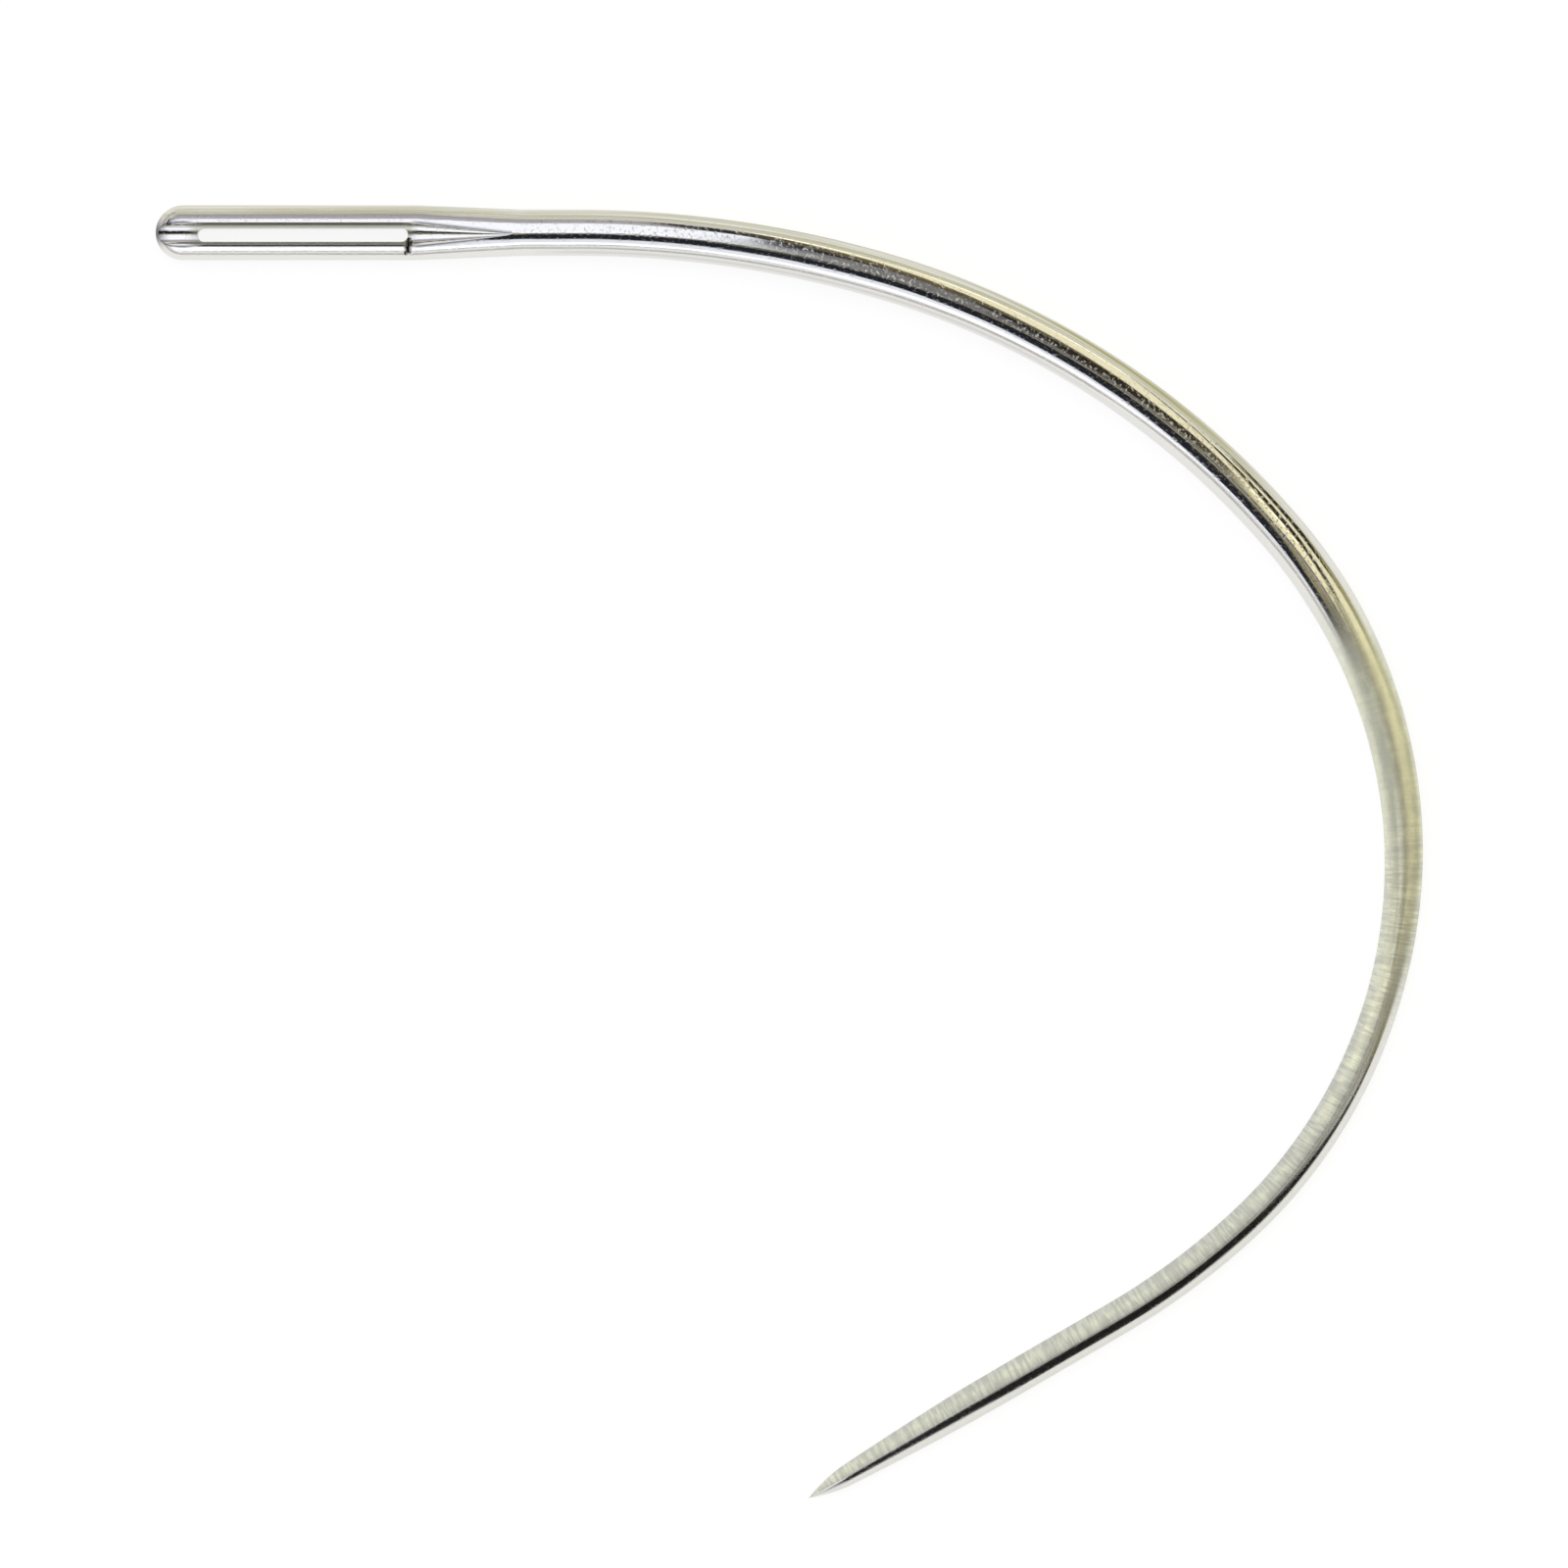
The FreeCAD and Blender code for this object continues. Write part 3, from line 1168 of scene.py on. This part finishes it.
@dataclass(frozen=True)
class Table:
    """A matt white table top that shows white to the camera and in the metal, and keeps a soft shadow.

    Glow is the white that is always there, and share the part of the light on the table that is added to
    it, so that the shadow shows.
    """

    side: float = 3.0
    colour: str = "#E6E6E6"
    glow: float = 0.85
    share: float = 0.22
    glow_in_metal: float = 0.55
    share_in_metal: float = 0.6

    def build(self) -> bpy.types.Object:
        """Make the table top.

        Returns:
            The table top.
        """
        mesh = rectangle("table", (self.side, self.side))
        mesh.materials.append(self.material())
        piece = bpy.data.objects.new("table", mesh)
        piece.location.z = CAD_BOX[0].z
        bpy.context.scene.collection.objects.link(piece)
        log.info("table: laid")
        return piece

    def material(self) -> bpy.types.Material:
        """Build the table's material.

        Returns:
            The material.
        """
        material = bpy.data.materials.new("table_top")
        material.use_nodes = True
        tree = material.node_tree
        tree.nodes.clear()
        path = add_node(tree, "LightPath")
        seen = add_node(
            tree, "Math", {"operation": "MAXIMUM"},
            {"0": path.outputs["Is Camera Ray"], "1": path.outputs["Is Transmission Ray"]},
        )
        shader = add_node(tree, "BsdfDiffuse", {"Color": linear(self.colour)}).outputs["BSDF"]
        for shown, glow, share in (
            (path.outputs["Is Glossy Ray"], self.glow_in_metal, self.share_in_metal),
            (seen.outputs[0], self.glow, self.share),
        ):
            dim = [share * value for value in linear(self.colour)[:3]] + [1.0]
            part = add_node(tree, "BsdfDiffuse", {"Color": dim})
            light = add_node(tree, "Emission", {"Color": linear("#FFFFFF"), "Strength": glow})
            white = add_node(
                tree, "AddShader", {}, {"0": part.outputs["BSDF"], "1": light.outputs["Emission"]}
            ).outputs["Shader"]
            shader = add_node(tree, "MixShader", {}, {"0": shown, "1": shader, "2": white}).outputs["Shader"]
        add_node(tree, "OutputMaterial", {}, {"Surface": shader})
        return material


@dataclass(frozen=True)
class Studio:
    """The table, the panels and cards round it, the dim room behind them, and the camera straight above."""

    table: Table = Table()
    ceiling: float = 0.5
    room: str = "#C8C8C8"
    camera_height: float = 0.4
    sensor_width: float = 36.0
    clip_near: float = 0.01
    clip_far: float = 10.0
    # The width of the picture and the place in its middle, in millimetres.
    view_width: float = 48.0
    view_centre: tuple[float, float] = (-0.165, 2.085)

    def panels(self) -> tuple[Panel, ...]:
        """List the panels: four overhead that light the wire, one lower down, and three on the walls.

        Returns:
            The panels.
        """
        high = self.ceiling
        return (
            Panel("panel_left", (-0.357, 0.296, high), (0.78, 0.545), "#F4F6FF", -9.5, False, 1.35),
            Panel("panel_right", (0.695, 0.7, high), (1.01, 1.4), "#FFF7D4", 0.0, False, 1.05),
            Panel(
                "panel_right_end", (0.125, 0.075, high - 0.006), (0.27, 0.046), "#FFF6CE", 46.0, False, 1.15,
            ),
            Panel("panel_front", (-0.27, -0.765, high), (0.97, 0.65), "#F2F5FF", 21.8, False, 1.08),
            Panel("panel_left_wall", (-0.7, 0.62, 0.31), (0.6, 0.24), "#FFFCF4", 0.0, False, 0.4),
            Panel("panel_back", (0.0, 0.75, 0.24), (1.3, 0.2), "#FFF8D8", 0.0, True, 0.2),
            Panel("panel_back_low", (0.2, 0.78, 0.07), (1.2, 0.14), "#FBF6D0", 0.0, True, 0.35),
            Panel("panel_front_wall", (-0.42, -0.8, 0.29), (1.2, 0.2), "#F6F7FF", 0.0, True, 0.45),
        )

    def cards(self) -> tuple[Card, ...]:
        """List the cards: dark ones for the lines along the wire, grey and cream ones for its soft bands.

        Returns:
            The cards.
        """
        high = self.ceiling
        return (
            # The gap between the panels is the black line along the wire, and the camera a grey one in it.
            Card("card_gap", (-0.05, 0.25, high + 0.01), (2.3, 1.8), "#0E1628"),
            Card("card_camera", (0.045, 0.16, high + 0.003), (0.34, 0.05), "#8A8A8C", 72.0),
            Card("card_brown", (0.148, 0.55, high - 0.002), (0.1, 0.6), "#6B6045"),
            Card("card_brown_end", (0.108, 0.117, high - 0.003), (0.27, 0.07), "#241B0A", 57.0),
            # A seam across the right panel is the thin line on the outer side.
            Card("card_seam", (0.406, 0.358, high - 0.003), (0.66, 0.075), "#14120C", 54.3),
            Card("card_seam_end", (0.78, 0.98, high - 0.003), (0.85, 0.09), "#33301F", 61.5),
            # These pale ones end the black line where the facets begin.
            Card("card_left_end", (-0.165, -0.108, high - 0.003), (0.3, 0.075), "#B9AF8E", 31.0),
            Card("card_left_fill", (-0.58, -0.16, high + 0.001), (0.8, 0.23), "#D2CFC4", 20.0),
            Card("card_left_back", (-0.355, 0.8, high - 0.003), (0.79, 0.6), "#CFCBD8"),
            Card("card_right_front", (0.6, -0.278, high - 0.001), (0.9, 0.42), "#D8D4C8", -20.2),
            Card("card_left_low", (-0.917, 0.08, 0.25), (0.6, 0.5), "#EFECE2", 0.0, True),
            # The black band along the blade's ridge.
            Card("card_corner", (0.467, -0.537, 0.245), (1.1, 0.27), "#040405", 50.0, True),
            Card("card_corner_end", (0.33, -0.63, 0.22), (0.42, 0.3), "#040405", 40.0, True),
            # The outer rim of the bend, and its reflection of the table.
            Card("card_right_back", (0.68, 0.59, 0.08), (0.6, 0.13), "#23211A", 67.0, True),
            Card("card_right_wall", (0.88, 0.15, 0.17), (1.3, 0.36), "#ACA884", 0.0, True),
            Card("card_table_right", (0.4254, 0.0, 0.0004), (0.8, 0.9), "#CBC8A6"),
            Card("card_table_back", (-0.2, 0.3276, 0.0004), (0.45, 0.6), "#CBC8A6"),
        )

    def build(self) -> None:
        """Make the studio."""
        self.table.build()
        for sheet in (*self.panels(), *self.cards()):
            sheet.build()
        self.world()
        self.camera()

    def world(self) -> None:
        """Make the dim, even room."""
        world = bpy.data.worlds.new("room")
        world.use_nodes = True
        background = world.node_tree.nodes["Background"]
        background.inputs["Color"].default_value = linear(self.room)
        background.inputs["Strength"].default_value = 1.0
        bpy.context.scene.world = world

    def camera(self) -> None:
        """Make the camera, looking straight down with a long lens."""
        lens = bpy.data.cameras.new("camera")
        lens.sensor_width = self.sensor_width
        lens.lens = lens.sensor_width * self.camera_height / (self.view_width * MM)
        lens.clip_start = self.clip_near
        lens.clip_end = self.clip_far
        piece = bpy.data.objects.new("camera", lens)
        middle = (CAD_BOX[0].z + CAD_BOX[1].z) / 2
        piece.location = (self.view_centre[0] * MM, self.view_centre[1] * MM, middle + self.camera_height)
        bpy.context.scene.collection.objects.link(piece)
        bpy.context.scene.camera = piece


def main() -> None:
    """Build the needle and its studio."""
    logging.basicConfig(level=logging.INFO, format="%(name)s: %(message)s")
    bpy.context.scene.view_settings.view_transform = "Standard"
    Needle().build()
    Studio().build()
    bpy.context.view_layer.update()


if __name__ == "__main__":
    main()
